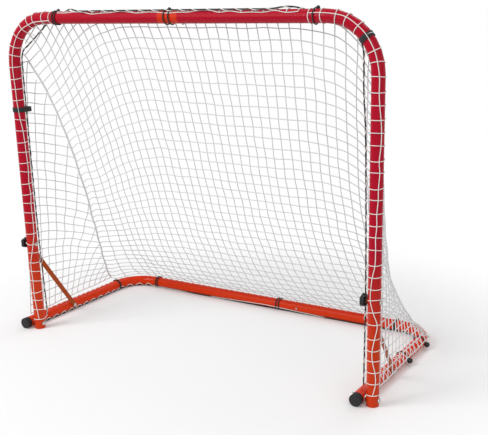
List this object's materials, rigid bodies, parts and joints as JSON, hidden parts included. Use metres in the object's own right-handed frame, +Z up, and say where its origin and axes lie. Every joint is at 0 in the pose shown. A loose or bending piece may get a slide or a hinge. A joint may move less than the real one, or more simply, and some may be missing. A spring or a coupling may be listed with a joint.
{
  "type": "street hockey goal",
  "caption": "Folding street hockey goal with a red steel tube frame, side braces with clamp knobs, a sagging white net and black elastic ties.",
  "frame": {"origin": "On the ground, in the middle of the goal's footprint.", "axes": "+X runs across the mouth to the right as seen from the front, +Y runs back from the mouth, +Z is up."},
  "size_m": [1.4346, 0.6498, 1.1263],
  "materials": {
    "red_powder_coat": "glossy powder coat on steel tube",
    "black_rubber": "moulded, matt",
    "black_plastic": "moulded, satin",
    "zinc_steel": "zinc plated",
    "black_elastic": "braided cover over rubber",
    "white_net_cord": "twisted polyester cord"
  },
  "bodies": {
    "base_frame": {"base_side_left": "red_powder_coat", "base_side_right": "red_powder_coat", "rear_corner_left": "red_powder_coat", "rear_corner_right": "red_powder_coat", "base_cap_left": "black_rubber", "base_cap_right": "black_rubber", "pivot_bolt_left": "zinc_steel", "pivot_bolt_right": "zinc_steel", "pivot_spacer_left": "zinc_steel", "pivot_spacer_right": "zinc_steel", "pivot_nut_left": "zinc_steel", "pivot_nut_right": "zinc_steel", "brace_bolt_left": "zinc_steel", "brace_bolt_right": "zinc_steel", "brace_nut_left": "zinc_steel", "brace_nut_right": "zinc_steel", "tie_side_left": "black_elastic", "tie_side_right": "black_elastic", "tie_brace_right": "black_elastic", "tie_rear_left": "black_elastic", "tie_rear_middle": "black_elastic", "tie_rear_right": "black_elastic", "edge_cord_base": "black_elastic", "net_back": "white_net_cord", "net_left": "white_net_cord", "net_right": "white_net_cord", "snap_spring_rear": "zinc_steel"},
    "front_frame": {"post_left": "red_powder_coat", "post_right": "red_powder_coat", "top_corner_left": "red_powder_coat", "top_corner_right": "red_powder_coat", "post_plug_left": "black_rubber", "post_plug_right": "black_rubber", "clamp_stud_left": "zinc_steel", "clamp_stud_right": "zinc_steel", "tie_top_left": "black_elastic", "tie_top_middle": "black_elastic", "tie_top_right": "black_elastic", "band_post_left": "black_elastic", "band_bend_right": "black_elastic", "edge_cord_mouth": "black_elastic", "snap_spring_top": "zinc_steel"},
    "brace_left": {"brace_left": "red_powder_coat"},
    "brace_right": {"brace_right": "red_powder_coat"},
    "knob_left": {"clamp_knob_left": "black_plastic"},
    "knob_right": {"clamp_knob_right": "black_plastic"},
    "snap_top": {"snap_button_top": "zinc_steel"},
    "snap_rear": {"snap_button_rear": "zinc_steel"}
  },
  "joints": [
    {"name": "fold", "type": "hinge", "parent": "base_frame", "child": "front_frame", "pos_m": [0.027, -0.28856, 0.01905], "axis": [-1, 0, 0], "range_deg": [0, 80], "deforming": ["net_back", "net_left", "net_right", "edge_cord_mouth"]},
    {"name": "brace_left_swing", "type": "hinge", "parent": "base_frame", "child": "brace_left", "pos_m": [-0.6603, -0.08356, 0.01905], "axis": [-1, 0, 0], "range_deg": [0, 112]},
    {"name": "brace_right_swing", "type": "hinge", "parent": "base_frame", "child": "brace_right", "pos_m": [0.6732, -0.08356, 0.01905], "axis": [-1, 0, 0], "range_deg": [0, 112]},
    {"name": "knob_left_turn", "type": "hinge", "parent": "front_frame", "child": "knob_left", "pos_m": [-0.6603, -0.28856, 0.32], "axis": [-1, 0, 0], "range_deg": [0, 720]},
    {"name": "knob_right_turn", "type": "hinge", "parent": "front_frame", "child": "knob_right", "pos_m": [0.6732, -0.28856, 0.32], "axis": [-1, 0, 0], "range_deg": [0, 720]},
    {"name": "snap_top_press", "type": "slide", "parent": "front_frame", "child": "snap_top", "axis": [0, 0, 1], "range_m": [0, 0.004], "stiffness_N_per_m": 800, "springref_m": -0.002, "deforming": ["snap_spring_top"]},
    {"name": "snap_rear_press", "type": "slide", "parent": "base_frame", "child": "snap_rear", "axis": [0, 1, 0], "range_m": [0, 0.004], "stiffness_N_per_m": 800, "springref_m": -0.002, "deforming": ["snap_spring_rear"]}
  ],
  "couplings": [
    {"joint": "brace_left_swing", "follows": "fold", "ratio": 1.4},
    {"joint": "brace_right_swing", "follows": "fold", "ratio": 1.4}
  ]
}
